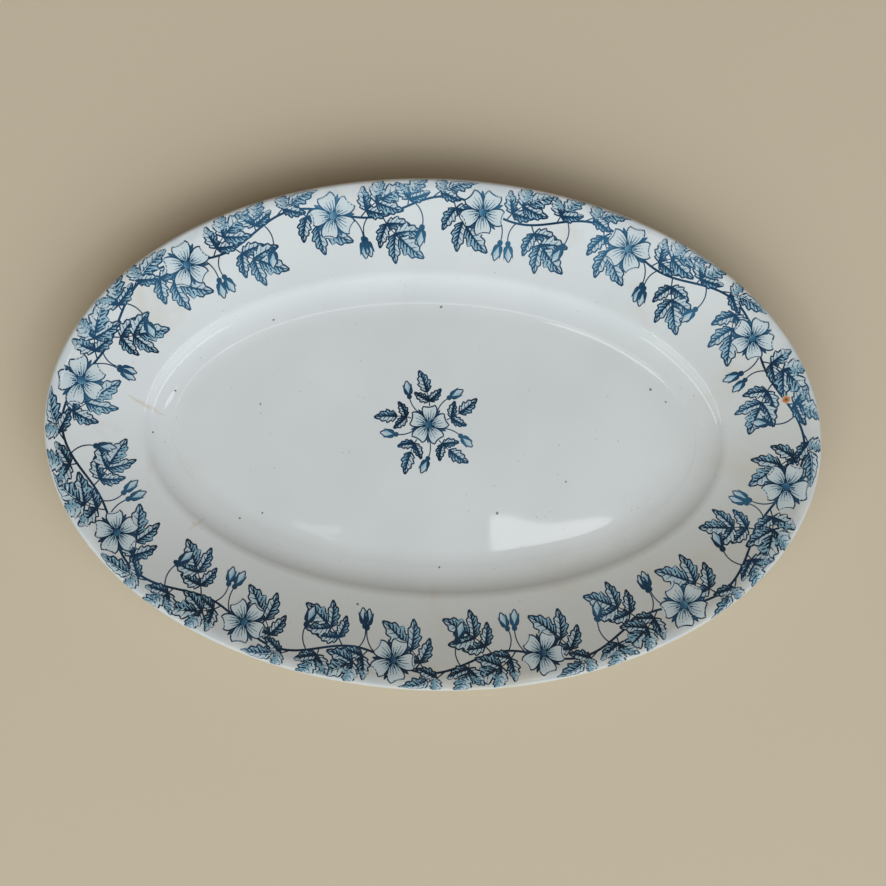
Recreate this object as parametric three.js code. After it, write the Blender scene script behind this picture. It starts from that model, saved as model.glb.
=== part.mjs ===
// Oval serving platter in glazed earthenware: a pressed dish with a broad, gently hollow rim, a curved wall
// and a shallow flat well, standing on a low foot ring luted to its back.
// Millimetres, +Z up, the long axis along X, the origin at the middle of the plane that the foot stands on.
import * as THREE from "three";

// Driving dimensions, in millimetres and degrees
const LENGTH = 380; // over the lip, along X
const WIDTH = 250; // over the lip, along Y
const HEIGHT = 29; // from the standing edge of the foot to the top of the lip
const RIM_WIDTH = 43; // from the lip in to the shoulder of the well, seen from above
const RIM_RISE = 13.5; // from the shoulder up to the top of the lip
const LIP_SLOPE = 23; // of the rim where it meets the lip's roll
const SHOULDER_SLOPE = 14; // of the rim where it turns down into the wall
const LIP_THICKNESS = 4; // of the clay at the lip, whose nose is fully rounded
const LIP_ROLL_RADIUS = 12; // of the wide turn from the face of the rim over the crest of the lip
const CLAY_THICKNESS = 5.2; // of the floor and the wall
const SHOULDER_RADIUS = 12; // of the bend from the rim down into the wall
const COVE_RADIUS = 24; // of the hollow curve from the wall into the floor
const BACK_FILLET_RADIUS = 7; // of the corner under the rim, where the back of the wall meets it
const FOOT_HEIGHT = 4.5; // of the foot ring, under the back of the dish
const FOOT_ROOT = 9; // width of the foot ring where it joins the back
const FOOT_EDGE = 5; // width of its flat standing edge
const FOOT_EASE = 1; // rounding of the standing edge's two corners, along the flat
const FOOT_SETBACK = 1.5; // from the edge of the floor in to the outer side of the foot ring's root

// Facets: steps round the oval and along each stretch of the section
const OVAL_STEPS = 96;
const COVE_STEPS = 7;
const SHOULDER_STEPS = 4;
const RIM_STEPS = 6;
const ROLL_STEPS = 3;
const LIP_STEPS = 3;
const EASE_STEPS = 3;

// The section is drawn in (out, z): out is 0 at the lip and negative inside it. A slope's direction points outwards
// along the clay, and its drop points square to that, from the face towards the back.
const radians = THREE.MathUtils.degToRad;
const along = (slope) => new THREE.Vector2(Math.cos(slope), Math.sin(slope));
const drop = (slope) => new THREE.Vector2(Math.sin(slope), -Math.cos(slope));
const lipSlope = radians(LIP_SLOPE);
const shoulderSlope = radians(SHOULDER_SLOPE);
const floorTop = FOOT_HEIGHT + CLAY_THICKNESS;

// An arc round a centre, between the places where the clay has the given slopes. A crown bulges towards the face and
// a hollow bulges towards the back.
function crown(centre, radius, fromSlope, toSlope) {
  const quarter = Math.PI / 2;
  const turn = [quarter + fromSlope, quarter + toSlope];
  return new THREE.EllipseCurve(centre.x, centre.y, radius, radius, ...turn, toSlope < fromSlope);
}
function hollow(centre, radius, fromSlope, toSlope) {
  return crown(centre, radius, fromSlope - Math.PI, toSlope - Math.PI);
}

// A smooth stretch of the rim between two points, leaving and arriving at the given slopes
function sweep(from, startSlope, to, endSlope) {
  const reach = (to.x - from.x) / 3;
  const leaving = along(startSlope).multiplyScalar(reach / Math.cos(startSlope)).add(from);
  const arriving = along(endSlope).multiplyScalar(-reach / Math.cos(endSlope)).add(to);
  return new THREE.CubicBezierCurve(from, leaving, arriving, to);
}

// The face: the cove rises from the floor and meets the shoulder's bend at the wall's steepest slope, which follows
// from their two radii and from the height between the floor and the rim.
const shoulderTop = new THREE.Vector2(-RIM_WIDTH, HEIGHT - RIM_RISE);
const shoulderCentre = drop(shoulderSlope).multiplyScalar(SHOULDER_RADIUS).add(shoulderTop);
const bothRadii = COVE_RADIUS + SHOULDER_RADIUS;
const wallSlope = Math.acos((floorTop + COVE_RADIUS - shoulderCentre.y) / bothRadii);
const coveCentre = drop(wallSlope).multiplyScalar(-bothRadii).add(shoulderCentre);
const cove = hollow(coveCentre, COVE_RADIUS, 0, wallSlope);
const shoulder = crown(shoulderCentre, SHOULDER_RADIUS, wallSlope, shoulderSlope);

// The lip: a roll from the face of the rim over its crest, then a tight arc round its nose, the highest and the
// outermost points
const lipRadius = LIP_THICKNESS / 2;
const lipCentre = new THREE.Vector2(-lipRadius, HEIGHT - lipRadius);
const rollCentre = new THREE.Vector2(-lipRadius, HEIGHT - LIP_ROLL_RADIUS);
const roll = crown(rollCentre, LIP_ROLL_RADIUS, lipSlope, 0);
const nose = crown(lipCentre, lipRadius, 0, -Math.PI / 2);
const underLip = crown(lipCentre, lipRadius, -Math.PI / 2, lipSlope - Math.PI);
const rimFace = sweep(shoulderTop, shoulderSlope, roll.getPoint(0), lipSlope);

// The back: the wall's back is concentric with the cove, at the thickness of the clay, and a fillet joins it to the
// back of the rim. The fillet's centre slides out along the rim's back until the two arcs touch.
const backRadius = COVE_RADIUS + CLAY_THICKNESS;
const backReach = backRadius + BACK_FILLET_RADIUS;
const underShoulder = drop(shoulderSlope).multiplyScalar(CLAY_THICKNESS + BACK_FILLET_RADIUS).add(shoulderTop);
const fromCove = underShoulder.clone().sub(coveCentre);
const outwards = fromCove.dot(along(shoulderSlope));
const slide = Math.sqrt(outwards ** 2 - fromCove.lengthSq() + backReach ** 2) - outwards;
const filletCentre = along(shoulderSlope).multiplyScalar(slide).add(underShoulder);
const backSlope = Math.acos((coveCentre.y - filletCentre.y) / backReach);
const backFillet = crown(filletCentre, BACK_FILLET_RADIUS, shoulderSlope, backSlope);
const backOfCove = hollow(coveCentre, backRadius, backSlope, 0);
const backOfRim = sweep(backFillet.getPoint(0), shoulderSlope, underLip.getPoint(1), lipSlope);

// A surface lofted through ovals. Each point of the section becomes an oval ring of the platter's outline, drawn in
// by the point's distance inside the lip. An open section is closed on the axis at both its ends, and the section
// runs outwards along its top, so that the faces point out of the clay.
function ovalLoft(section, closedOnItself) {
  const positions = [];
  for (const { x: out, y: z } of section) {
    for (let j = 0; j < OVAL_STEPS; j++) {
      const angle = (2 * Math.PI * j) / OVAL_STEPS;
      positions.push((LENGTH / 2 + out) * Math.cos(angle), (WIDTH / 2 + out) * Math.sin(angle), z);
    }
  }
  const faces = [];
  const vertex = (ring, step) => (ring % section.length) * OVAL_STEPS + (step % OVAL_STEPS);
  const bands = closedOnItself ? section.length : section.length - 1;
  for (let i = 0; i < bands; i++) {
    for (let j = 0; j < OVAL_STEPS; j++) {
      faces.push(vertex(i, j), vertex(i + 1, j), vertex(i + 1, j + 1));
      faces.push(vertex(i, j), vertex(i + 1, j + 1), vertex(i, j + 1));
    }
  }
  if (!closedOnItself) {
    const last = section.length - 1;
    const topCentre = positions.length / 3;
    const baseCentre = topCentre + 1;
    positions.push(0, 0, section[0].y, 0, 0, section[last].y);
    for (let j = 0; j < OVAL_STEPS; j++) {
      faces.push(topCentre, vertex(0, j), vertex(0, j + 1));
      faces.push(baseCentre, vertex(last, j + 1), vertex(last, j));
    }
  }
  const geometry = new THREE.BufferGeometry();
  geometry.setAttribute("position", new THREE.Float32BufferAttribute(positions, 3));
  geometry.setIndex(faces);
  geometry.computeVertexNormals();
  return geometry;
}

// The dish: floor, wall, rim and lip, pressed in one from a sheet of clay
function dishGeometry() {
  const section = [
    ...cove.getPoints(COVE_STEPS),
    ...shoulder.getPoints(SHOULDER_STEPS).slice(1),
    ...rimFace.getPoints(RIM_STEPS).slice(1),
    ...roll.getPoints(ROLL_STEPS).slice(1),
    ...nose.getPoints(LIP_STEPS).slice(1),
    ...underLip.getPoints(LIP_STEPS).slice(1),
    ...backOfRim.getPoints(RIM_STEPS).reverse().slice(1),
    ...backFillet.getPoints(SHOULDER_STEPS).slice(1),
    ...backOfCove.getPoints(COVE_STEPS).slice(1),
  ];
  return ovalLoft(section, false);
}

// The foot ring: a strip that tapers from its root on the back to a flat standing edge with eased corners
function footGeometry() {
  const outer = coveCentre.x - FOOT_SETBACK;
  const inner = outer - FOOT_ROOT;
  const taper = (FOOT_ROOT - FOOT_EDGE) / 2;
  const easeRise = (FOOT_EASE * FOOT_HEIGHT) / Math.hypot(taper, FOOT_HEIGHT);
  const easeRun = (FOOT_EASE * taper) / Math.hypot(taper, FOOT_HEIGHT);
  const outline = new THREE.Path();
  outline.moveTo(inner, FOOT_HEIGHT);
  outline.lineTo(outer, FOOT_HEIGHT);
  outline.lineTo(outer - taper + easeRun, easeRise);
  outline.quadraticCurveTo(outer - taper, 0, outer - taper - FOOT_EASE, 0);
  outline.lineTo(inner + taper + FOOT_EASE, 0);
  outline.quadraticCurveTo(inner + taper, 0, inner + taper - easeRun, easeRise);
  return ovalLoft(outline.getPoints(EASE_STEPS), true);
}

// White glaze all over the dish; the foot's standing edge is wiped bare, so the ring shows the fired clay
const glaze = new THREE.MeshStandardMaterial({ color: 0xe4e6e4, roughness: 0.12, metalness: 0 });
const bareClay = new THREE.MeshStandardMaterial({ color: 0xd9cfbd, roughness: 0.7, metalness: 0 });

const dish = new THREE.Mesh(dishGeometry(), glaze);
dish.name = "dish";
const footRing = new THREE.Mesh(footGeometry(), bareClay);
footRing.name = "foot_ring";

const platter = new THREE.Group();
platter.name = "oval_platter";
platter.add(dish, footRing);

export default platter;
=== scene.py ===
import bpy
import numpy as np
from mathutils import Matrix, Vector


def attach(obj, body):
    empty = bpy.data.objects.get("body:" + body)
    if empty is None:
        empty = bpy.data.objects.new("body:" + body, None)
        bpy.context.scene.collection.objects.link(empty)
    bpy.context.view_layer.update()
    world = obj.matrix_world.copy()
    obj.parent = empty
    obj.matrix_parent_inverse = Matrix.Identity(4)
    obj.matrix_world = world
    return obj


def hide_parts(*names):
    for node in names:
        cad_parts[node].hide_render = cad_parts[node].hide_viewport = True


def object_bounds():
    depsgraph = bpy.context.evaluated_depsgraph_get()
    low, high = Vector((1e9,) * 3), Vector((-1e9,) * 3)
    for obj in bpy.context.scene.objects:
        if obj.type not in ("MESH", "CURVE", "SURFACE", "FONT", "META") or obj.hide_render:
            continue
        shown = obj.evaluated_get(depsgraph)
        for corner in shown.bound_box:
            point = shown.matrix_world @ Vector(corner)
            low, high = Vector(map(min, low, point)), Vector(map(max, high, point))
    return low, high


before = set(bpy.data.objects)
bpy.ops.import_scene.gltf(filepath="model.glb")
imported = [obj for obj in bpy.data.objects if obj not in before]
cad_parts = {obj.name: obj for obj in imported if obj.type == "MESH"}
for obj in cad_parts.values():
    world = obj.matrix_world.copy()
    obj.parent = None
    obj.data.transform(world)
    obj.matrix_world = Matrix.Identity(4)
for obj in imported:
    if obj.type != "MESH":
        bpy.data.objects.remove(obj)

cad_box = [list(corner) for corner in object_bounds()]

# THE DISH
# One sheet of earthenware clay, pressed over a mould: flat floor, hollow wall, broad rim and rounded lip.
# It is fired, printed, dipped in white glaze and fired again, so glass covers all but the foot's edge.

MM = 0.001
INK_ROOM = 0.08  # kept free under the top of the CAD box, for the print that lies on the lip
HALF_LENGTH, HALF_WIDTH, CAD_TOP = (side / MM for side in cad_box[1])
HEIGHT = CAD_TOP - INK_ROOM
RIM_WIDTH, RIM_RISE = 43.0, 13.5 - INK_ROOM
LIP_SLOPE, SHOULDER_SLOPE = np.radians(23.0), np.radians(14.0)
LIP_RADIUS, LIP_ROLL, CLAY, FOOT_HEIGHT = 2.0, 12.0, 5.2, 4.5
SHOULDER_RADIUS, COVE_RADIUS, BACK_FILLET = 12.0, 24.0, 7.0
FLOOR_TOP = FOOT_HEIGHT + CLAY
ROUND_STEPS, FLOOR_RINGS = 420, 11
STRIP_POINTS, COVE_POINTS, SHOULDER_POINTS, RIM_POINTS, ROLL_POINTS = 16, 64, 18, 36, 14
NOSE_POINTS, RIM_BACK_POINTS, FILLET_POINTS, WALL_BACK_POINTS = 28, 20, 10, 14


def along(slope):
    """Outward unit direction along clay of this slope, as (out, z). Out is 0 at the lip, negative inside."""
    return np.array([np.cos(slope), np.sin(slope)])


def drop(slope):
    """Unit direction from the face of clay of this slope square through to its back."""
    return np.array([np.sin(slope), -np.cos(slope)])


def crown(centre, radius, from_slope, to_slope, count):
    """Arc round centre between two slopes, bulging to the face. A negative radius makes it a hollow."""
    slope = np.linspace(from_slope, to_slope, count)
    return np.asarray(centre) + radius * np.stack([-np.sin(slope), np.cos(slope)], 1)


def rim_sweep(start, start_slope, end, end_slope, count):
    """Cubic from start to end with the given end slopes: out runs evenly, so height is a cubic in out."""
    t = np.linspace(0.0, 1.0, count)
    width = end[0] - start[0]
    rise = ((2 * t**3 - 3 * t**2 + 1) * start[1] + (t**3 - 2 * t**2 + t) * width * np.tan(start_slope)
            + (3 * t**2 - 2 * t**3) * end[1] + (t**3 - t**2) * width * np.tan(end_slope))
    return np.stack([start[0] + width * t, rise], 1)


# The cove rises from the floor and meets the shoulder at the wall's steepest slope, which follows from their
# two radii and from the height between the floor and the rim. The lip's roll and its nose share the crest.
SHOULDER_TOP = np.array([-RIM_WIDTH, HEIGHT - RIM_RISE])
SHOULDER_CENTRE = SHOULDER_TOP + SHOULDER_RADIUS * drop(SHOULDER_SLOPE)
BOTH_RADII = COVE_RADIUS + SHOULDER_RADIUS
WALL_SLOPE = np.arccos((FLOOR_TOP + COVE_RADIUS - SHOULDER_CENTRE[1]) / BOTH_RADII)
COVE_CENTRE = SHOULDER_CENTRE - BOTH_RADII * drop(WALL_SLOPE)
LIP_CENTRE = np.array([-LIP_RADIUS, HEIGHT - LIP_RADIUS])
ROLL_CENTRE = np.array([-LIP_RADIUS, HEIGHT - LIP_ROLL])
ROLL_START = ROLL_CENTRE - LIP_ROLL * drop(LIP_SLOPE)
FLOOR_EDGE = -COVE_CENTRE[0]
FLARE_ROOM, FLARE_SLOPE = 8.0, np.tan(np.radians(7.0))
FLARE_RUN = COVE_RADIUS * np.sin(WALL_SLOPE) + 3.0


def face_section():
    """Section of the face to the crest of the lip: outer strip of the floor, cove, shoulder, rim, roll."""
    strip = np.linspace(-FLOOR_EDGE - FLARE_ROOM, -FLOOR_EDGE, STRIP_POINTS)[:-1]
    return np.concatenate([
        np.stack([strip, np.full(len(strip), FLOOR_TOP)], 1),
        crown(COVE_CENTRE, -COVE_RADIUS, 0.0, WALL_SLOPE, COVE_POINTS)[:-1],
        crown(SHOULDER_CENTRE, SHOULDER_RADIUS, WALL_SLOPE, SHOULDER_SLOPE, SHOULDER_POINTS)[:-1],
        rim_sweep(SHOULDER_TOP, SHOULDER_SLOPE, ROLL_START, LIP_SLOPE, RIM_POINTS)[:-1],
        crown(ROLL_CENTRE, LIP_ROLL, LIP_SLOPE, 0.0, ROLL_POINTS)])


def back_section():
    """Section from the lip's crest round its nose to the base: lip, back of the rim, fillet, back of the
    wall. The fillet's centre slides out along the rim's back until its arc touches the back of the wall."""
    back_radius = COVE_RADIUS + CLAY
    reach = back_radius + BACK_FILLET
    under = SHOULDER_TOP + (CLAY + BACK_FILLET) * drop(SHOULDER_SLOPE)
    from_cove = under - COVE_CENTRE
    outwards = from_cove @ along(SHOULDER_SLOPE)
    slide = np.sqrt(outwards**2 - from_cove @ from_cove + reach**2) - outwards
    fillet_centre = under + slide * along(SHOULDER_SLOPE)
    back_slope = np.arccos((COVE_CENTRE[1] - fillet_centre[1]) / reach)
    fillet = crown(fillet_centre, BACK_FILLET, SHOULDER_SLOPE, back_slope, FILLET_POINTS)
    under_lip = LIP_CENTRE + LIP_RADIUS * drop(LIP_SLOPE)
    return np.concatenate([
        crown(LIP_CENTRE, LIP_RADIUS, 0.0, LIP_SLOPE - np.pi, NOSE_POINTS)[1:],
        rim_sweep(fillet[0], SHOULDER_SLOPE, under_lip, LIP_SLOPE, RIM_BACK_POINTS)[::-1][1:],
        fillet[1:],
        crown(COVE_CENTRE, -back_radius, back_slope, 0.0, WALL_BACK_POINTS)[1:]])


RIPPLE = 0.03
WAVES = ((0.076, 0.045, 0.7), (0.111, -0.092, 2.1), (0.031, 0.134, 4.0))


def ripple(x, y):
    """Height of the glaze's slow waves in mm, from uneven pressing and dipping: three plane waves 45 to 70
    mm long, each the sine of so many radians per mm along x and along y, plus its start."""
    return RIPPLE * sum(np.sin(per_x * x + per_y * y + start) for per_x, per_y, start in WAVES)


def flare(inset):
    """Rise of the floor's edge in mm: its slope grows outwards as a square over the floor's outer strip, and
    the rise then dies out up the wall as a cubic, because the clay doesn't bed down quite into the corner of
    the mould."""
    edge_rise = FLARE_SLOPE * FLARE_ROOM / 3
    strip = np.clip(1.0 - (inset - FLOOR_EDGE) / FLARE_ROOM, 0.0, 1.0)
    up = np.clip((FLOOR_EDGE - inset) / FLARE_RUN, 0.0, 1.0)
    fade = edge_rise * (2 * up**3 - 3 * up**2 + 1) + FLARE_SLOPE * FLARE_RUN * (up**3 - 2 * up**2 + up)
    return np.where(inset > FLOOR_EDGE, edge_rise * strip**3, fade)


FLOOR_STEP, STEP_RUN = FLOOR_EDGE - 1.0, 0.8
STEP_DEPTH, STEP_LEAN, LEAN_REACH = 0.10, 0.08, 40.0
CALM_LIP, CALM_RUN = 2.0, 10.0


def relief(x, y, inset):
    """Departure of the glazed face from its section in mm: the ripple, which dies out at the lip, the
    floor's flare, and a low step down to the floor where the mould's parts met, deeper towards +Y."""
    calm = np.clip((inset - CALM_LIP) / CALM_RUN, 0.0, 1.0)
    depth = STEP_DEPTH + STEP_LEAN * np.clip(y / LEAN_REACH, -1.0, 1.0)
    down = np.clip((inset - FLOOR_STEP) / STEP_RUN + 0.5, 0.0, 1.0)
    return calm * ripple(x, y) + flare(inset) - depth * down**2 * (3.0 - 2.0 * down)


def closed_rings(rings, wrap):
    """Quads between neighbouring rings of a grid of points (ring, step). Each ring closes on itself, and
    wrap joins the last ring to the first."""
    number = np.arange(rings * ROUND_STEPS).reshape(rings, ROUND_STEPS)
    here = number if wrap else number[:-1]
    there = np.roll(number, -1, 0) if wrap else number[1:]
    return np.stack([here, there, np.roll(there, -1, 1), np.roll(here, -1, 1)], -1).reshape(-1, 4)


def piece_from(name, points, quads, fans=(), normals=None, uv=None):
    """Smooth object at the origin from points in mm, quads and triangles, and any normal or UV per point."""
    corners = np.concatenate([np.ravel(quads), np.ravel(fans)]).astype(np.int32)
    sides = np.concatenate([np.full(len(quads), 4), np.full(len(fans), 3)])
    mesh = bpy.data.meshes.new(name)
    mesh.vertices.add(len(points))
    mesh.vertices.foreach_set("co", (np.asarray(points) * MM).astype(np.float32).ravel())
    mesh.loops.add(len(corners))
    mesh.loops.foreach_set("vertex_index", corners)
    mesh.polygons.add(len(sides))
    mesh.polygons.foreach_set("loop_start", (np.cumsum(sides) - sides).astype(np.int32))
    mesh.polygons.foreach_set("use_smooth", np.ones(len(sides), bool))
    if uv is not None:
        layer = mesh.uv_layers.new(name="OFBake")
        layer.uv.foreach_set("vector", uv[corners].astype(np.float32).ravel())
    mesh.update(calc_edges=True)
    mesh.validate()
    if normals is not None:
        mesh.normals_split_custom_set_from_vertices(normals)
    piece = bpy.data.objects.new(name, mesh)
    bpy.context.collection.objects.link(piece)
    return piece


def dish_points():
    """Number of rings and the points of the dish: floor rings shrunk to the middle, each point of the
    section carried round the oval at its distance inside the lip, and base rings shrunk to the middle. The
    relief is on the face."""
    face, back = face_section(), back_section()
    section = np.concatenate([face, back])
    shrink = np.linspace(0.0, 1.0, FLOOR_RINGS + 2)[1:-1]
    first, last = section[0, 0], section[-1, 0]
    semi_x = np.concatenate([shrink * (HALF_LENGTH + first), HALF_LENGTH + section[:, 0],
                             shrink[::-1] * (HALF_LENGTH + last)])
    semi_y = np.concatenate([shrink * (HALF_WIDTH + first), HALF_WIDTH + section[:, 0],
                             shrink[::-1] * (HALF_WIDTH + last)])
    z = np.concatenate([np.full(len(shrink), FLOOR_TOP), section[:, 1], np.full(len(shrink), FOOT_HEIGHT)])
    inset = np.concatenate([np.full(len(shrink), HALF_WIDTH), -section[:, 0], np.zeros(len(shrink))])
    on_face = (np.arange(len(z)) < len(shrink) + len(face))[:, None]
    angle = np.linspace(0.0, 2 * np.pi, ROUND_STEPS, endpoint=False)
    x, y = semi_x[:, None] * np.cos(angle), semi_y[:, None] * np.sin(angle)
    grid = np.stack([x, y, z[:, None] + np.where(on_face, relief(x, y, inset[:, None]), 0.0)], -1)
    middle = [[0.0, 0.0, FLOOR_TOP + relief(0.0, 0.0, HALF_WIDTH)], [0.0, 0.0, FOOT_HEIGHT]]
    return len(z), np.concatenate([grid.reshape(-1, 3), middle])


rings, points = dish_points()
first_ring = np.arange(ROUND_STEPS)
last_ring = first_ring + (rings - 1) * ROUND_STEPS
floor_middle = np.full(ROUND_STEPS, rings * ROUND_STEPS)
base_middle = floor_middle + 1
fans = np.concatenate([
    np.stack([floor_middle, first_ring, np.roll(first_ring, -1)], 1),
    np.stack([base_middle, np.roll(last_ring, -1), last_ring], 1)])
dish = piece_from("dish_glazed", points, closed_rings(rings, False), fans)


def linear(code):
    """Linear RGBA of an sRGB hex colour."""
    c = np.array([int(code[i:i + 2], 16) for i in (1, 3, 5)]) / 255.0
    return (*np.where(c <= 0.04045, c / 12.92, ((c + 0.055) / 1.055)**2.4).tolist(), 1.0)


def node(tree, kind, inputs=None, **settings):
    """Adds a node. Settings are its properties, and inputs maps a socket to a value or an output to link."""
    made = tree.nodes.new(kind)
    for key, value in settings.items():
        setattr(made, key, value)
    for key, value in (inputs or {}).items():
        if isinstance(value, bpy.types.NodeSocket):
            tree.links.new(value, made.inputs[key])
        else:
            made.inputs[key].default_value = value
    return made


def new_material(name):
    """Empty node material, its tree, and the tree's output node."""
    material = bpy.data.materials.new(name)
    material.use_nodes = True
    material.node_tree.nodes.clear()
    return material, material.node_tree, node(material.node_tree, "ShaderNodeOutputMaterial")


# White earthenware glaze: a glassy skin with slow clouds of tone, painted shade that greys the wall and rim
# towards -Y, faint tan stains that have crept in under the glaze on the wall and rim, and a pale blue wash on
# the lip where the print bled
CLOUD, STAIN, PEEL, WASH = 60 * MM, 45 * MM, 2.5 * MM, 8 * MM
SHADE_SIDE, SHADE_FROM, SHADE_TO = (0.35, -0.94, 0.0), -40 * MM, 100 * MM
FLOOR_OVAL = (1 / ((HALF_LENGTH - FLOOR_EDGE) * MM), 1 / ((HALF_WIDTH - FLOOR_EDGE) * MM), 0.0)
glaze, tree, output = new_material("white_earthenware_glaze")
coords = node(tree, "ShaderNodeTexCoord").outputs["Object"]
cloud = node(tree, "ShaderNodeTexNoise", {"Vector": coords, "Scale": 1 / CLOUD, "Detail": 3.0}).outputs["Fac"]
tone = node(tree, "ShaderNodeMapRange", {"Value": cloud, "From Min": 0.3, "From Max": 0.7}).outputs[0]
white = node(tree, "ShaderNodeMix", {0: tone, 6: linear("#d8dddc"), 7: linear("#e0e4e3")},
             data_type="RGBA").outputs[2]
oval = node(tree, "ShaderNodeVectorMath", {0: coords, 1: FLOOR_OVAL}, operation="MULTIPLY").outputs[0]
outness = node(tree, "ShaderNodeVectorMath", {0: oval}, operation="LENGTH").outputs["Value"]
wall = node(tree, "ShaderNodeMapRange", {"Value": outness, "From Min": 0.88, "From Max": 1.22}).outputs[0]
# Painted shade: towards -Y the wall and rim are mixed to grey, darkening the side that faces away from the
# light
side = node(tree, "ShaderNodeVectorMath", {0: coords, 1: SHADE_SIDE}, operation="DOT_PRODUCT").outputs["Value"]
side = node(tree, "ShaderNodeMapRange", {"Value": side, "From Min": SHADE_FROM, "From Max": SHADE_TO,
                                         "To Max": 0.85}).outputs[0]
painted_shade = node(tree, "ShaderNodeMath", {0: wall, 1: side}, operation="MULTIPLY").outputs[0]
white = node(tree, "ShaderNodeMix", {0: painted_shade, 6: white, 7: linear("#cccdc6")}, data_type="RGBA").outputs[2]
patch = node(tree, "ShaderNodeTexNoise", {"Vector": coords, "Scale": 1 / STAIN, "Detail": 5.0,
                                          "Roughness": 0.62, "Distortion": 0.6}).outputs["Fac"]
stain = node(tree, "ShaderNodeMapRange", {"Value": patch, "From Min": 0.55, "From Max": 0.76,
                                          "To Max": 0.5}).outputs[0]
stain = node(tree, "ShaderNodeMath", {0: stain, 1: wall}, operation="MULTIPLY").outputs[0]
stained = node(tree, "ShaderNodeMix", {0: stain, 6: white, 7: linear("#c9bea6")}, data_type="RGBA").outputs[2]
level = node(tree, "ShaderNodeSeparateXYZ", {0: coords}).outputs["Z"]
lip = node(tree, "ShaderNodeMapRange", {"Value": level, "From Min": (HEIGHT - 1.8) * MM,
                                        "From Max": (HEIGHT - 0.4) * MM, "To Max": 0.18}).outputs[0]
runs = node(tree, "ShaderNodeTexNoise", {"Vector": coords, "Scale": 1 / WASH, "Detail": 3.0}).outputs["Fac"]
runs = node(tree, "ShaderNodeMapRange", {"Value": runs, "From Min": 0.42, "From Max": 0.60}).outputs[0]
bled = node(tree, "ShaderNodeMath", {0: lip, 1: runs}, operation="MULTIPLY").outputs[0]
washed = node(tree, "ShaderNodeMix", {0: bled, 6: stained, 7: linear("#9db8c9")}, data_type="RGBA").outputs[2]
gloss = node(tree, "ShaderNodeMapRange", {"Value": cloud, "From Min": 0.3, "From Max": 0.7, "To Min": 0.015,
                                          "To Max": 0.045}).outputs[0]
peel = node(tree, "ShaderNodeTexNoise", {"Vector": coords, "Scale": 1 / PEEL, "Detail": 1.0}).outputs["Fac"]
uneven = node(tree, "ShaderNodeBump", {"Height": peel, "Strength": 0.02, "Distance": 0.1 * MM}).outputs[0]
shader = node(tree, "ShaderNodeBsdfPrincipled", {"Base Color": washed, "Roughness": gloss, "IOR": 1.5,
                                                 "Normal": uneven})
tree.links.new(shader.outputs[0], output.inputs[0])
dish.data.materials.append(glaze)
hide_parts("dish")
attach(dish, "root")

# THE FOOT RING
# A rolled strip of the same clay, luted to the flat back with slip and shaved square. Its standing edge is
# wiped clean of glaze before the kiln, so that it doesn't stick to the shelf.

FOOT_SETBACK, FOOT_ROOT, FOOT_EDGE, FOOT_EASE = 1.5, 9.0, 5.0, 1.0
FOOT_OUTER = COVE_CENTRE[0] - FOOT_SETBACK


def foot_section():
    """Closed section of the ring: root, outer side, eased corner, standing edge, eased corner, inner side.
    An eased corner is a quadratic curve that leaves the side and meets the edge."""
    taper = (FOOT_ROOT - FOOT_EDGE) / 2
    slant = np.array([taper, FOOT_HEIGHT]) / np.hypot(taper, FOOT_HEIGHT)
    t = np.linspace(0.0, 1.0, 7)[:, None]
    corner = np.array([FOOT_OUTER - taper, 0.0])
    above, flat = corner + FOOT_EASE * slant, corner - [FOOT_EASE, 0.0]
    outer_ease = (1 - t)**2 * above + 2 * t * (1 - t) * corner + t**2 * flat
    middle = FOOT_OUTER - FOOT_ROOT / 2
    inner_ease = outer_ease[::-1] * [-1.0, 1.0] + [2 * middle, 0.0]
    root = np.array([[FOOT_OUTER - FOOT_ROOT, FOOT_HEIGHT], [FOOT_OUTER, FOOT_HEIGHT]])
    return np.concatenate([root, outer_ease, inner_ease])


section = foot_section()
angle = np.linspace(0.0, 2 * np.pi, ROUND_STEPS, endpoint=False)
outs, heights = section[:, :1], section[:, 1:]
ring = np.stack([(HALF_LENGTH + outs) * np.cos(angle), (HALF_WIDTH + outs) * np.sin(angle),
                 np.repeat(heights, ROUND_STEPS, 1)], -1)
foot = piece_from("foot_ring_luted", ring.reshape(-1, 3), closed_rings(len(section), True))

# Glazed and bare earthenware on one strip: glass on its sides, and on the standing edge the matt biscuit,
# buff and a little sandy, with grey wear where it has slid on shelves
GRIT, RUB = 1.5 * MM, 18 * MM
clay, tree, output = new_material("wiped_earthenware_foot")
coords = node(tree, "ShaderNodeTexCoord").outputs["Object"]
grit = node(tree, "ShaderNodeTexNoise", {"Vector": coords, "Scale": 1 / GRIT, "Detail": 4.0}).outputs["Fac"]
rub = node(tree, "ShaderNodeTexNoise", {"Vector": coords, "Scale": 1 / RUB, "Detail": 3.0}).outputs["Fac"]
buff = node(tree, "ShaderNodeMix", {0: grit, 6: linear("#b39c7c"), 7: linear("#d8c8ac")},
            data_type="RGBA").outputs[2]
rubbed = node(tree, "ShaderNodeMapRange", {"Value": rub, "From Min": 0.45, "From Max": 0.7,
                                           "To Max": 0.6}).outputs[0]
buff = node(tree, "ShaderNodeMix", {0: rubbed, 6: buff, 7: linear("#97897a")}, data_type="RGBA").outputs[2]
level = node(tree, "ShaderNodeSeparateXYZ", {0: coords}).outputs["Z"]
edge = node(tree, "ShaderNodeMath", {0: rub, 1: 0.6 * MM, 2: 0.3 * MM}, operation="MULTIPLY_ADD").outputs[0]
glazed = node(tree, "ShaderNodeMath", {0: level, 1: edge}, operation="GREATER_THAN").outputs[0]
skin = node(tree, "ShaderNodeMix", {0: glazed, 6: buff, 7: linear("#d6dad6")}, data_type="RGBA").outputs[2]
matt = node(tree, "ShaderNodeMapRange", {"Value": glazed, "To Min": 0.85, "To Max": 0.10}).outputs[0]
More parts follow.
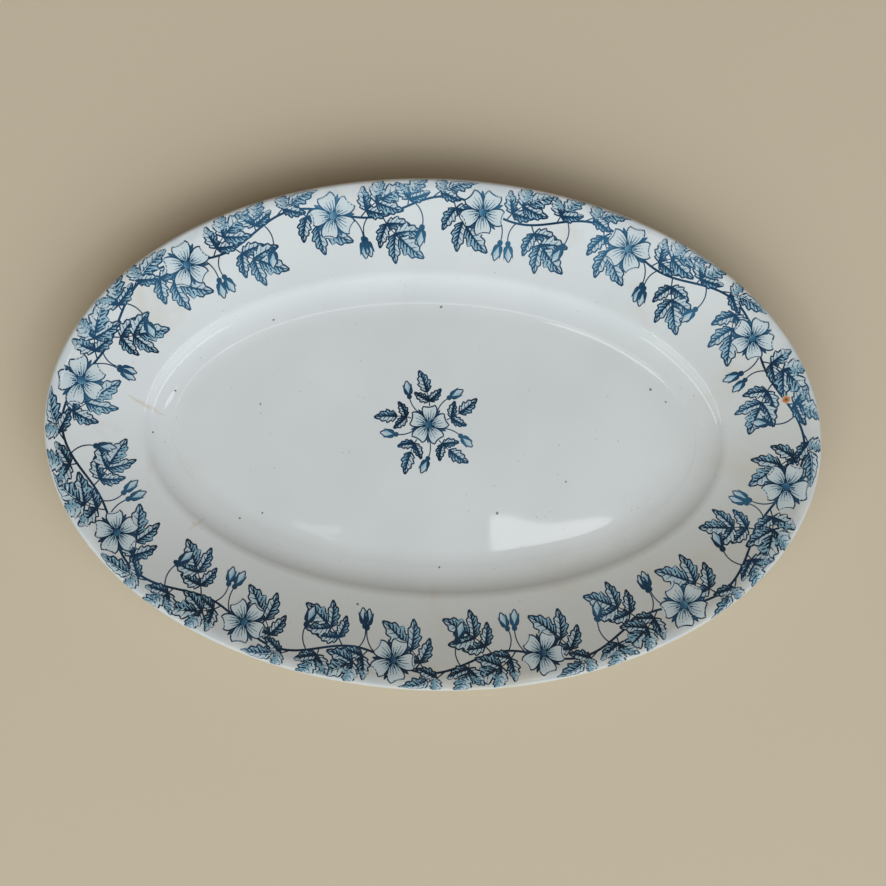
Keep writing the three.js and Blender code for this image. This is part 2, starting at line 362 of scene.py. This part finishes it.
sandy = node(tree, "ShaderNodeBump", {"Height": grit, "Strength": 0.15, "Distance": 0.2 * MM}).outputs[0]
shader = node(tree, "ShaderNodeBsdfPrincipled", {"Base Color": skin, "Roughness": matt, "IOR": 1.5,
                                                 "Normal": sandy})
tree.links.new(shader.outputs[0], output.inputs[0])
foot.data.materials.append(clay)
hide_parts("foot_ring")
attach(foot, "root")

# THE PRINTED BORDER
# Blue underglaze transfer on the rim: a tissue pulled from an engraved plate and rubbed down on the biscuit.
# It shows a running briar with toothed leaflets, open roses and buds, in dark cut lines over paler tones.

RIM_LINE = 21.0
REPEATS = 12
WRAP_FROM, WRAP_ROOM = 17.5, 3.0
INK_LIFT, INK_STEP, INK_SINK = 0.025, 0.003, 0.04
PROBE = 0.05


def rim_length():
    """Table of angle against length, clockwise round the oval that runs along the middle of the rim. The
    length is the sum of short chords."""
    turn = np.linspace(0.0, -2 * np.pi, 4001)
    x, y = (HALF_LENGTH - RIM_LINE) * np.cos(turn), (HALF_WIDTH - RIM_LINE) * np.sin(turn)
    return turn, np.concatenate([[0.0], np.cumsum(np.hypot(np.diff(x), np.diff(y)))])


TURN, LENGTHS = rim_length()
PITCH = LENGTHS[-1] / REPEATS


def on_rim(grid):
    """Places seen from above of a pattern drawn in (along the middle of the rim, out from it), both in mm.
    Out runs along the oval's normal. Past WRAP_FROM it is squeezed, as the tissue is where it folds over the
    lip, and nears WRAP_FROM plus WRAP_ROOM without reaching it."""
    p, v = grid[..., 0], grid[..., 1]
    over = np.maximum(v - WRAP_FROM, 0.0)
    v = np.minimum(v, WRAP_FROM) + WRAP_ROOM * (1.0 - np.exp(-over / WRAP_ROOM))
    turn = np.interp(np.mod(p, LENGTHS[-1]), LENGTHS, TURN)
    a, b = HALF_LENGTH - RIM_LINE, HALF_WIDTH - RIM_LINE
    out = np.stack([b * np.cos(turn), a * np.sin(turn)])
    out /= np.linalg.norm(out, axis=0)
    return np.stack([a * np.cos(turn) + v * out[0], b * np.sin(turn) + v * out[1]], -1)


def inset_at(x, y):
    """Distance inside the lip of a place seen from above: the d for which (x/(a-d))^2 + (y/(b-d))^2 is 1,
    found by twelve of Newton's steps from 20 mm, each held between 5 mm outside the lip and the well."""
    d = np.full(np.shape(x), 20.0)
    for _ in range(12):
        fx, fy = (x / (HALF_LENGTH - d))**2, (y / (HALF_WIDTH - d))**2
        d = d - (fx + fy - 1.0) / (2 * fx / (HALF_LENGTH - d) + 2 * fy / (HALF_WIDTH - d) + 1e-9)
        d = np.clip(d, -5.0, 0.8 * HALF_WIDTH)
    return d


GLAZED_SECTION = np.concatenate([face_section(), crown(LIP_CENTRE, LIP_RADIUS, 0.0, -1.2, 10)[1:]])


def glaze_height(x, y):
    """Height of the glazed face in mm: the section's at that inset, on over the lip's nose, plus relief."""
    inset = inset_at(x, y)
    return np.interp(-inset, GLAZED_SECTION[:, 0], GLAZED_SECTION[:, 1]) + relief(x, y, inset)


def glaze_normal(x, y):
    """Unit normal of the glazed face, from its rise between PROBE mm to one side and as far to the other."""
    rise_x = (glaze_height(x + PROBE, y) - glaze_height(x - PROBE, y)) / (2 * PROBE)
    rise_y = (glaze_height(x, y + PROBE) - glaze_height(x, y - PROBE)) / (2 * PROBE)
    up = np.stack([-rise_x, -rise_y, np.ones_like(rise_x)], -1)
    return up / np.linalg.norm(up, axis=-1, keepdims=True)


def worn_and_paled(x, y):
    """Share of the print's tone taken off: blotches of wear where two waves cross, and a share that grows
    towards +Y, so that the print is paler towards +Y and darker towards -Y.
    """
    blotch = np.sin(0.061 * x + 0.09 * y + 1.0) * np.sin(0.083 * x - 0.052 * y)
    # Besides the blotches, the print is made paler towards +Y and darker towards -Y by position alone
    return 0.14 * blotch + 0.0011 * (y + HALF_WIDTH) - 0.03


def film(strokes, placed, wear):
    """Points, quads, fans, normals and UVs of closed films of ink on the glaze. Each entry of strokes is a
    grid (stroke, along, across) of drawn places, its tones and its layer. A stroke's top follows the glaze,
    lifted by its layer, and a line under its middle sinks below the glaze. The UV's u is the tone, less
    wear and paling, so that one strip of colours inks every stroke, and v runs along the stroke. A small
    spread of u gives each face an area on the UV map."""
    points, quads, fans, normals, uvs, count = [], [], [], [], [], 0
    for grid, tone, layer in strokes:
        rows, wide = grid.shape[1:3]
        under = (grid[:, :, :1] + grid[:, :, -1:]) / 2
        x, y = np.moveaxis(placed(np.concatenate([grid, under], 2)), -1, 0)
        raised = np.full(x.shape, INK_LIFT + INK_STEP * layer)
        raised[:, :, -1] = -INK_SINK - INK_STEP * layer
        points.append(np.stack([x, y, glaze_height(x, y) + raised], -1).reshape(-1, 3))
        normals.append(glaze_normal(x, y).reshape(-1, 3))
        u = np.concatenate([tone + np.linspace(-0.006, 0.006, wide), tone[:, :, :1] + 0.012], 2)
        u = np.clip(u * (1.0 - wear * worn_and_paled(x, y)), 0.03, 0.97)
        v = np.broadcast_to(0.05 + 0.9 * np.arange(rows)[:, None] / (rows - 1), x.shape)
        uvs.append(np.stack([u, v], -1).reshape(-1, 2))
        number = count + np.arange(x.size).reshape(x.shape)
        here, there = number[:, :-1], number[:, 1:]
        quads.append(np.stack([here, there, np.roll(there, -1, 2), np.roll(here, -1, 2)], -1).reshape(-1, 4))
        for end, order in ((number[:, 0], [0, 1, 2]), (number[:, -1], [0, 2, 1])):
            corner = np.stack([np.repeat(end[:, :1], wide - 1, 1), end[:, 1:-1], end[:, 2:]], -1)
            fans.append(corner[..., order].reshape(-1, 3))
        count += x.size
    return [np.concatenate(part) for part in (points, quads, fans, normals, uvs)]


def blade(base, heading, length, half, bend, s, t, width):
    """Places on flat blades, for s from base to tip and t from -1 to 1 across. The midrib is an arc whose
    heading turns by bend from base to tip, and a place lies to its left by t times the half width at s."""
    shape = (-1,) + (1,) * s.ndim
    heading, length, half = (np.reshape(a, shape) for a in (heading, length, half))
    bend = np.reshape(np.where(np.abs(bend) < 1e-3, 1e-3, bend), shape)
    start = heading - bend / 2
    turn = start + bend * s
    offset = t * half * width(s)
    x = length / bend * (np.sin(turn) - np.sin(start)) - offset * np.sin(turn)
    y = length / bend * (np.cos(start) - np.cos(turn)) + offset * np.cos(turn)
    return np.stack([x, y], -1) + np.reshape(base, (-1,) + (1,) * s.ndim + (2,))


def line(path, half, tone, layer):
    """Engraved lines as ink strokes: edges half a line's width to either side of the path, at one tone."""
    ahead = np.gradient(path, axis=1)
    ahead /= np.linalg.norm(ahead, axis=-1, keepdims=True) + 1e-9
    left = np.stack([-ahead[..., 1], ahead[..., 0]], -1) * np.broadcast_to(half, path.shape[:2])[..., None]
    edges = np.stack([path - left, path + left], 2)
    return edges, np.full(edges.shape[:3], tone), layer


def ways(angles):
    """Unit directions at these angles."""
    return np.stack([np.cos(angles), np.sin(angles)], -1)


def patch_grid(rows, columns):
    """Parameters of a blade's surface: s from 0 to 1 down the rows, and t from -1 to 1 along the columns."""
    return np.meshgrid(np.linspace(0.0, 1.0, rows), np.linspace(-1.0, 1.0, columns), indexing="ij")


TEETH = 4
CUT, FINE = 0.97, 0.95  # tones of a deep cut line and of a fine one: 0 is bare glaze and 1 the darkest ink


def leaf_width(s):
    """Half width of a leaflet: a power of s times a power of 1 - s gives a lance with a drawn-out point, and a
    saw wave along s gives teeth that point to the tip."""
    lance = s**0.75 * (1.0 - s)**1.2 / 0.273
    saw = np.mod(TEETH * s + 1e-6, 1.0)
    return 0.03 + lance * (0.66 + 0.50 * saw)


def leaflets(base, heading, length, half, bend, layer):
    """Toothed leaflets: a tone, darker on one side of the midrib, that pales to the edge and runs a little
    over it, the edge's two lines, the midrib and raked veins, narrow on the light side, broad on the dark."""
    leaf = (base, heading, length, half, bend)
    s, t = patch_grid(4 * TEETH + 1, 5)
    flood = blade(*leaf, s, 1.12 * t, leaf_width)
    outline = blade(*leaf, s, t, leaf_width)
    tone = np.where(t < 0, 0.50, 0.22) - np.where(t < 0, 0.26, 0.18) * np.abs(t)
    strokes = [(flood, np.broadcast_to(tone, flood.shape[:3]), layer)]
    for edge in (outline[:, :, 0], outline[:, :, -1]):
        strokes.append(line(edge, 0.40, CUT, layer + 0.5))
    s = np.linspace(0.0, 0.98, 9)
    strokes.append(line(blade(*leaf, s, 0.0 * s, leaf_width), 0.62 - 0.42 * s, 0.98, layer + 0.5))
    q = np.linspace(0.0, 1.0, 4)
    dark_side = (-1.0, np.linspace(0.06, 0.70, 6), 0.70, 0.80)
    light_side = (1.0, np.linspace(0.12, 0.66, 4), 0.30, 0.86)
    for side, roots, broad, far in (dark_side, light_side):
        for root in roots:
            vein = blade(*leaf, root + 0.17 * q, side * far * q**0.9, leaf_width)
            strokes.append(line(vein, broad * (1.0 - 0.85 * q), FINE, layer + 0.5))
    return strokes


def spray(base, heading, reach, bend, size, pairs, layer):
    """A compound leaf: a stalk along an arc, pairs of leaflets down its sides and a larger one at its end."""
    s = np.linspace(0.0, 1.0, 9)
    rail = (base, heading, reach, 0.0 * reach, bend)
    stalk = blade(*rail, s, 0.0 * s, np.ones_like)
    strokes = [line(stalk, 0.34 - 0.14 * s, FINE, layer)]
    seats = np.linspace(0.34, 0.80, pairs) if pairs > 1 else np.array([0.55])
    for k, seat in enumerate(seats):
        joint = blade(*rail, np.array([seat]), np.zeros(1), np.ones_like)[:, 0]
        onward = heading + bend * (seat - 0.5)
        grown = size * (0.74 + 0.14 * k)
        for side in (-1.0, 1.0):
            layer += 1
            spread = onward + side * (0.92 - 0.1 * k)
            strokes += leaflets(joint, spread, grown, 0.27 * grown, side * -0.35 + 0.0 * grown, layer)
    return strokes + leaflets(stalk[:, -1], heading + bend / 2, size, 0.28 * size, 0.5 * bend, layer + 1)


def petal_width(s):
    """Half width of a rose petal: the root of s, so narrow at its claw and round, and less near s = 1 by a
    third of the fifth power of s, so that it draws in a little at its outer edge."""
    return 0.04 + np.sqrt(np.maximum(s, 0.0)) * (1.0 - 0.32 * s**5)


def disc_width(s):
    """Half width of a round dot: the height of a half circle over s, plus a little, so its ends are blunt."""
    return 0.05 + np.sqrt(np.maximum(1.0 - (2.0 * s - 1.0)**2, 0.0))


def bud_width(s):
    """Half width of a closed bud: the root of s, round at its base, times nearly 1 - s, pointed at its tip."""
    return 0.04 + s**0.5 * (1.0 - s)**0.9 / 0.47


def notched(s, t):
    """Way up a petal at which a place lies: s, made less in the middle and more at the corners by a share that
    grows as the fourth power of s, so that the outer edge is notched."""
    return s * (1.0 + 0.09 * (np.abs(t)**1.5 - 0.5) * s**4)


def roses(centre, turn, size, layer):
    """Open five-petalled roses: notched petals, pale with a dark claw, their outline, four cut lines up each
    petal, five sepals that show between the petals, and an eye with a ring of stamens."""
    turn = (turn[:, None] + 2 * np.pi / 5 * np.arange(5)).ravel()
    between = turn + np.pi / 5
    centre, size = np.repeat(centre, 5, 0), np.repeat(size, 5)
    no_bend = 0.0 * size
    s, t = patch_grid(8, 5)
    sepal_base = centre + 0.62 * size[:, None] * ways(between)
    sepal = blade(sepal_base, between, 0.42 * size, 0.10 * size, no_bend, s, t, bud_width)
    strokes = [(sepal, np.full(sepal.shape[:3], 0.84), layer)]
    claw = centre + 0.15 * size[:, None] * ways(turn)
    petal = (claw, turn, 0.86 * size, 0.49 * size, 0.25 + no_bend)
    grid = blade(*petal, notched(s, t), t, petal_width)
    tone = 0.03 + 0.34 * (1.0 - s)**2.6 + 0.06 * np.where(t < 0, 1.0, 0.0) * s
    strokes.append((grid, np.broadcast_to(tone, grid.shape[:3]), layer + 1))
    up = np.linspace(0.0, 1.0, 9)
    round_s = np.concatenate([up, np.ones(7), up[::-1]])
    round_t = np.concatenate([-np.ones(9), np.linspace(-0.75, 0.75, 7), np.ones(9)])
    outline = blade(*petal, notched(round_s, round_t), round_t, petal_width)
    strokes.append(line(outline, 0.34, CUT, layer + 1.5))
    q = np.linspace(0.0, 1.0, 5)
    for place, top in ((-0.6, 0.62), (-0.2, 0.78), (0.2, 0.66), (0.6, 0.52)):
        cut = blade(*petal, 0.1 + (top - 0.1) * q, place + 0.0 * q, petal_width)
        strokes.append(line(cut, 0.20 - 0.10 * q, 0.90, layer + 1.5))
    for heading, start, stop in ((turn, 0.16, 0.40), (between, 0.16, 0.34)):
        ray = ways(heading)[:, None] * (size[:, None] * (start + (stop - start) * q))[..., None]
        strokes.append(line(centre[:, None] + ray, 0.12 + 0.22 * q**3, FINE, layer + 2))
    eye_base = (centre - 0.17 * size[:, None] * [1.0, 0.0])[::5]
    eye = blade(eye_base, 0.0 * turn[::5], 0.34 * size[::5], 0.17 * size[::5], no_bend[::5], s, t, disc_width)
    strokes.append((eye, np.broadcast_to(0.55 + 0.3 * s, eye.shape[:3]), layer + 2.5))
    return strokes


def buds(base, heading, length, layer):
    """Closed buds on a round hip: a pale body, darker on one side, its outline, and two long dark sepals."""
    no_bend = 0.0 * length
    s, t = patch_grid(8, 5)
    body = blade(base, heading, length, 0.30 * length, no_bend, s, t, bud_width)
    tone = 0.06 + 0.26 * (1.0 - s) + 0.20 * (t < 0)
    strokes = [(body, np.broadcast_to(tone, body.shape[:3]), layer)]
    for edge in (body[:, :, 0], body[:, :, -1]):
        strokes.append(line(edge, 0.30, CUT, layer + 0.5))
    for side in (-1.0, 1.0):
        splay = heading + side * 0.34
        sepal = blade(base, splay, 0.86 * length, 0.10 * length, side * -0.5 + no_bend, s, t, bud_width)
        strokes.append((sepal, np.full(sepal.shape[:3], 0.86), layer + 1))
    hip_base = base - 0.26 * length[:, None] * ways(heading)
    hip = blade(hip_base, heading, 0.36 * length, 0.16 * length, no_bend, s, t, disc_width)
    return strokes + [(hip, np.full(hip.shape[:3], 0.88), layer + 1.5)]


BRIAR_LINE, BRIAR_SWING = 8.0, 4.5


def briar(p):
    """The border's stem: a cosine that swings once a repeat about a line outside the middle of the rim."""
    return np.stack([p, BRIAR_LINE + BRIAR_SWING * np.cos(2 * np.pi * p / PITCH)], -1)


def stalk_to(base, tip, sag):
    """Curved stalks from base to tip: straight between them, plus sag times a parabola to the left."""
    q = np.linspace(0.0, 1.0, 8)[:, None]
    way = tip - base
    left = np.stack([-way[:, 1], way[:, 0]], -1)
    return base[:, None] + way[:, None] * q + left[:, None] * (4 * sag * q * (1 - q))


hand = np.random.default_rng(11)


def drawn(spread):
    """One small unevenness of the engraver's hand for each repeat."""
    return hand.uniform(-spread, spread, REPEATS)


# Sprays: place on the stem as a share of the repeat, lean, bend, reach, leaflet, pairs of leaflets, layer
SPRAYS = ((0.04, -1.00, 0.60, 15.0, 16.5, 2, 1), (0.42, 0.68, -0.50, 12.5, 15.5, 2, 1),
          (0.58, -0.85, 0.50, 13.5, 15.5, 2, 7), (0.74, 1.30, -0.50, 6.0, 14.5, 1, 7),
          (0.90, 0.50, -0.40, 8.5, 14.0, 1, 10))
# Buds: place on the stem, lean of the stalk, its length, its sag, length of the bud
BUDS = ((0.36, -1.25, 13.0, 0.12, 8.5), (0.47, -1.75, 11.0, -0.15, 8.0), (0.80, -1.45, 12.5, 0.15, 8.5))
ROSE_PLACE, ROSE_OUT, ROSE_SIZE = 0.25, 7.0, 9.5
ROSE_LAYER, BUD_LAYER, BUD_NOD = 14, 13, 0.4
at = np.arange(REPEATS) * PITCH
foliage = [line(briar(np.linspace(0.0, LENGTHS[-1], 40 * REPEATS + 1))[None], 0.55, CUT, 0)]
for share, lean, bend, reach, size, pairs, layer in SPRAYS:
    root = briar(at + share * PITCH + drawn(1.0))
    heading, far = lean + drawn(0.12), reach + drawn(1.0)
    curl, leaf = bend + drawn(0.1), size + drawn(0.8)
    foliage += spray(root, heading, far, curl, leaf, pairs, layer)
bloom = np.stack([at + ROSE_PLACE * PITCH + drawn(0.8), ROSE_OUT + drawn(0.8)], -1)
flowers = roses(bloom, drawn(3.0), ROSE_SIZE + drawn(0.5), ROSE_LAYER)
for share, lean, far, sag, size in BUDS:
    root = briar(at + share * PITCH + drawn(0.8))
    heading = lean + drawn(0.15)
    tip = root + far * ways(heading)
    foliage.append(line(stalk_to(root, tip, sag), 0.30, FINE, 0.5))
    flowers += buds(tip, heading - BUD_NOD * np.sign(sag), size + drawn(0.4), BUD_LAYER)


def toned_material(name, pale, stops, dark, roughness):
    """Glassy material whose colour runs from pale through stops to dark, read at the tone in the UV's u."""
    material, tree, output = new_material(name)
    strip = node(tree, "ShaderNodeUVMap", uv_map="OFBake").outputs[0]
    tone = node(tree, "ShaderNodeSeparateXYZ", {0: strip}).outputs[0]
    ramp = node(tree, "ShaderNodeValToRGB", {0: tone})
    elements = ramp.color_ramp.elements
    for spot, code in stops:
        elements.new(spot).color = linear(code)
    elements[0].color, elements[-1].color = linear(pale), linear(dark)
    shader = node(tree, "ShaderNodeBsdfPrincipled", {"Base Color": ramp.outputs[0], "Roughness": roughness,
                                                     "IOR": 1.5})
    tree.links.new(shader.outputs[0], output.inputs[0])
    return material


# Cobalt print under a clear glaze: soft-edged blue, from near-black cut lines to pale grey-blue stipple
INK_STOPS = ((0.3, "#8ab3c4"), (0.6, "#346a8a"), (0.85, "#0f3552"))
ink = toned_material("cobalt_underglaze_print", "#d5dddd", INK_STOPS, "#071e2e", 0.03)
for name, strokes in (("border_foliage_print", foliage), ("border_flowers_print", flowers)):
    points, quads, fans, normals, uv = film(strokes, on_rim, 1.0)
    border_print = piece_from(name, points, quads, fans, normals, uv)
    border_print.data.materials.append(ink)
    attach(border_print, "root")

# THE CENTRE SPRIG
# The same print once more in the middle of the well: one open rose, with five short sprays and five buds
# round it. It is cut from the same tissue and laid on by hand, so it stands a little off the middle.

SPRIG_CENTRE, SPRIG_ROSE = np.array([-4.0, 5.0]), 9.0
SPRAY_ROOT, SPRAY_LEAN, SPRAY_REACH, SPRAY_BEND, SPRAY_LEAF = 6.5, 0.15, 10.0, 0.5, 11.5
BUD_ROOT, BUD_TIP, BUD_SAG, BUD_LENGTH = 6.0, 17.5, 0.12, 7.5


def as_drawn(grid):
    """Places seen from above of a pattern drawn where it lies, in mm from the middle of the platter."""
    return grid


fifth = np.pi / 2 + 2 * np.pi / 5 * np.arange(5)
half_way = fifth + np.pi / 5
root = SPRIG_CENTRE + SPRAY_ROOT * ways(fifth)
each = np.ones(5)
sprig = spray(root, fifth + SPRAY_LEAN, SPRAY_REACH * each, SPRAY_BEND * each, SPRAY_LEAF * each, 1, 1)
root = SPRIG_CENTRE + BUD_ROOT * ways(half_way)
tip = SPRIG_CENTRE + BUD_TIP * ways(half_way)
sprig.append(line(stalk_to(root, tip, BUD_SAG), 0.28, FINE, 0.5))
sprig += buds(tip, half_way - BUD_NOD, BUD_LENGTH * each, 6)
sprig += roses(SPRIG_CENTRE[None], np.array([np.pi / 2]), np.array([SPRIG_ROSE]), 9)
points, quads, fans, normals, uv = film(sprig, as_drawn, 1.0)
sprig_print = piece_from("sprig_print", points, quads, fans, normals, uv)
sprig_print.data.materials.append(ink)
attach(sprig_print, "root")

# THE KILN SPECKS
# Specks of iron in the clay and ash from the kiln, burnt dark under the glaze with a paler halo, a few tan
# spots, two faint brown lines of age, and one old chip at the rim that has stained rust orange.

SPECKS = 150
SPECK_PLACES = np.array([(0, 64), (-83, 54), (-130, 17), (-88, 12), (-140, -4), (-96, -45), (-85, -42),
                         (-36, -85), (4, -66), (107, 27), (115, 21), (122, 61), (66, -21), (32, -38)], float)
TAN_SPOTS = np.array([(-43, -10), (-150, 30), (-118, -48), (30, 88)], float)
TAN_WIDTHS, TAN_TONE = np.array([1.3, 1.0, 1.5, 1.2]), 0.66
CHIP_PLACE, CHIP_TURN = np.array([[172.0, 24.0]]), np.array([0.6])
CHIP_RINGS = ((4.6, 0.72, 16.0), (3.6, 0.88, 16.5), (1.3, 0.42, 17.0))  # width, tone, layer
AGE_LINES = np.array([[(-153, 14), (-134, 4)], [(-121, -52), (-112, -45)]], float)
AGE_STROKES = ((0.85, 0.56, 0.5), (0.28, 0.62, 1.0))  # half width, tone, layer


def dots(spot, turn, across, layer, tone):
    """Round dots with their middle at spot, as wide as across, at one tone each."""
    s, t = patch_grid(6, 4)
    base = spot - across[:, None] / 2 * ways(turn)
    grid = blade(base, turn, across, 0.40 * across, 0.0 * across, s, t, disc_width)
    return grid, np.broadcast_to(tone[:, None, None], grid.shape[:3]), layer


scatter = np.random.default_rng(5)
bearing, reach = scatter.uniform(0.0, 2 * np.pi, SPECKS), np.sqrt(scatter.uniform(0.0, 0.94, SPECKS))
loose = np.stack([HALF_LENGTH * reach * np.cos(bearing), HALF_WIDTH * reach * np.sin(bearing)], -1)
spots = np.concatenate([SPECK_PLACES, loose])
width = np.concatenate([scatter.uniform(0.8, 1.2, len(SPECK_PLACES)), scatter.uniform(0.25, 0.5, SPECKS)])
strength = np.concatenate([np.full(len(SPECK_PLACES), 1.0), scatter.uniform(0.2, 0.55, SPECKS)])
turn = scatter.uniform(0.0, 2 * np.pi, len(spots))
halo = dots(spots, turn, 1.5 * width, 0.0, 0.04 + 0.10 * strength)
core = dots(spots, turn, 0.9 * width, 0.5, 0.47 * strength)
specks = [halo, core]
for across, tone, layer in CHIP_RINGS:
    specks.append(dots(CHIP_PLACE, CHIP_TURN, np.array([across]), layer, np.array([tone])))
specks.append(dots(TAN_SPOTS, np.zeros(len(TAN_SPOTS)), TAN_WIDTHS, 0.5, np.full(len(TAN_SPOTS), TAN_TONE)))
run = np.linspace(0.0, 1.0, 24)
crooked = AGE_LINES[:, :1] + (AGE_LINES[:, 1:] - AGE_LINES[:, :1]) * run[:, None]
crooked = crooked + 0.2 * np.sin(np.outer(run, [13.0, 21.0]))
for half, tone, layer in AGE_STROKES:
    specks.append(line(crooked, half * np.sin(np.pi * run) + 0.06, tone, layer))
points, quads, fans, normals, uv = film(specks, as_drawn, 0.0)
kiln_specks = piece_from("kiln_specks", points, quads, fans, normals, uv)

# Iron and ash burnt in under glass: grey-olive in a speck's halo and brown-black in its middle, then,
# further along the same strip of colours, the pale tan of the spots and age lines and the rust of the chip
IRON_STOPS = ((0.2, "#a3a59d"), (0.46, "#2f2a24"), (0.55, "#d9d8d0"), (0.7, "#d4ccbd"), (0.82, "#d08a48"))
iron = toned_material("iron_specks_in_glaze", "#d0d4d0", IRON_STOPS, "#a8591c", 0.15)
kiln_specks.data.materials.append(iron)
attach(kiln_specks, "root")

# THE STUDIO
# A plain pale table top, soft light from one side as from a wall of windows, a few lamps whose reflections
# draw the curve of the wall, and a camera that looks straight down on the well.

TABLE_REACH = 40.0 / MM
corners = TABLE_REACH * np.array([[-1.0, -1.0, 0.0], [1.0, -1.0, 0.0], [1.0, 1.0, 0.0], [-1.0, 1.0, 0.0]])
table = piece_from("table_top", corners, np.array([[0, 1, 2, 3]]))
paper, tree, output = new_material("pale_table_paper")
shader = node(tree, "ShaderNodeBsdfPrincipled", {"Base Color": linear("#d2c4aa"), "Roughness": 0.8})
tree.links.new(shader.outputs[0], output.inputs[0])
table.data.materials.append(paper)


def aim(thing, spot, target, roll=0.0, above=(0.0, 1.0, 0.0)):
    """Puts thing at spot, with -Z towards target and +Y on the side of above, and rolls it about its view."""
    spot, target = np.asarray(spot, float), np.asarray(target, float)
    back = (spot - target) / np.linalg.norm(spot - target)
    right = np.cross(above, back)
    right /= np.linalg.norm(right)
    rows = np.eye(4)
    rows[:3] = np.stack([right, np.cross(back, right), back, spot], 1)
    thing.matrix_world = Matrix(rows.tolist()) @ Matrix.Rotation(roll, 4, "Z")


def lamp(name, spot, target, width, height, watts, **turned):
    """White rectangular area lamp of width by height metres, aimed from spot at target."""
    data = bpy.data.lights.new(name, "AREA")
    data.shape = "RECTANGLE"
    data.size, data.size_y, data.energy = width, height, watts
    thing = bpy.data.objects.new(name, data)
    bpy.context.collection.objects.link(thing)
    aim(thing, spot, target, **turned)


LAMP_REACH, BLIND_WIDTH = 1.5, 0.95
lamp("roof_window", (0.250, -0.1535, LAMP_REACH), (0.250, -0.1535, 0.0), 0.185, 0.075, 0.150, roll=0.10)
lamp("roof_vent", (-0.109, -0.131, LAMP_REACH), (-0.109, -0.131, 0.0), 0.075, 0.02, 0.006)
for side, bearing in (("right", -38.0), ("left", 228.0)):
    for part, rise, tall, watts in (("sill", 54.0, 0.13, 1.10), ("blind", 36.0, 0.66, 1.80)):
        turn, tilt = np.radians([bearing, rise])
        spot = LAMP_REACH * np.array([np.cos(turn) * np.cos(tilt), np.sin(turn) * np.cos(tilt), np.sin(tilt)])
        lamp(f"{side}_{part}", spot, (0.0, 0.0, 0.0), BLIND_WIDTH, tall, watts, above=(0.0, 0.0, 1.0))

# The room's light: a broad glow round each heading, which falls off as a power of the cosine, and a faint
# even fill. Reflections and the camera see a plain backdrop in its place, greyer and bluer to reflections
# than to the camera.
GLOWS = (((0.40, -0.65, 0.65), 6.0, 2.16, "#ebf4ff"), ((-0.28, -0.70, 0.66), 6.0, 1.34, "#f8faf6"),
         ((0.10, 0.90, 0.42), 2.0, 0.20, "#ecbc80"))
EVEN_FILL = 0.04
world = bpy.data.worlds.new("soft_studio")
bpy.context.scene.world = world
world.use_nodes = True
tree = world.node_tree
tree.nodes.clear()
sky_way = node(tree, "ShaderNodeTexCoord").outputs["Generated"]
light = node(tree, "ShaderNodeBackground", {"Color": linear("#f6ecdf"), "Strength": EVEN_FILL}).outputs[0]
for heading, sharpness, strength, colour in GLOWS:
    facing = node(tree, "ShaderNodeVectorMath", {0: sky_way, 1: heading},
                  operation="DOT_PRODUCT").outputs["Value"]
    facing = node(tree, "ShaderNodeMath", {0: facing, 1: 0.0}, operation="MAXIMUM").outputs[0]
    lobe = node(tree, "ShaderNodeMath", {0: facing, 1: sharpness}, operation="POWER").outputs[0]
    lobe = node(tree, "ShaderNodeMath", {0: lobe, 1: strength}, operation="MULTIPLY").outputs[0]
    glow = node(tree, "ShaderNodeBackground", {"Color": linear(colour), "Strength": lobe}).outputs[0]
    light = node(tree, "ShaderNodeAddShader", {0: light, 1: glow}).outputs[0]
path = node(tree, "ShaderNodeLightPath").outputs
seen = node(tree, "ShaderNodeMath", {0: path["Is Camera Ray"], 1: path["Is Glossy Ray"]},
            operation="ADD").outputs[0]
seen = node(tree, "ShaderNodeMath", {0: seen, 1: path["Is Transmission Ray"]}, operation="ADD",
            use_clamp=True).outputs[0]
depth = node(tree, "ShaderNodeSeparateXYZ", {0: sky_way}).outputs["Y"]
room = node(tree, "ShaderNodeMapRange", {"Value": depth, "From Min": -0.8, "From Max": 0.3}).outputs[0]
mirrored = node(tree, "ShaderNodeMix", {0: room, 6: linear("#8b9db2"), 7: linear("#8a8b8a")},
                data_type="RGBA").outputs[2]
plain = node(tree, "ShaderNodeMix", {0: path["Is Camera Ray"], 6: mirrored, 7: linear("#e2e4e3")},
             data_type="RGBA").outputs[2]
backdrop = node(tree, "ShaderNodeBackground", {"Color": plain}).outputs[0]
both = node(tree, "ShaderNodeMixShader", {0: seen, 1: light, 2: backdrop}).outputs[0]
node(tree, "ShaderNodeOutputWorld", {0: both})

# The camera stands over the well, leaning a little to one side and rolled a little, as for the photograph
FRAME_PIXELS, FOCAL_PIXELS, SENSOR = 886.0, 1500.0, 36.0
VIEW_REACH, VIEW_LEAN, VIEW_ROLL = 0.7296, np.array([-0.05, 0.0, 1.0]), np.radians(2.168)
VIEW_TARGET = np.array([0.00251, -0.00389, 0.030])
camera = bpy.data.objects.new("camera", bpy.data.cameras.new("camera"))
bpy.context.collection.objects.link(camera)
bpy.context.scene.camera = camera
camera.data.sensor_width, camera.data.lens = SENSOR, SENSOR * FOCAL_PIXELS / FRAME_PIXELS
aim(camera, VIEW_TARGET + VIEW_REACH * VIEW_LEAN / np.linalg.norm(VIEW_LEAN), VIEW_TARGET, VIEW_ROLL)

bpy.context.scene.view_settings.view_transform = "Standard"
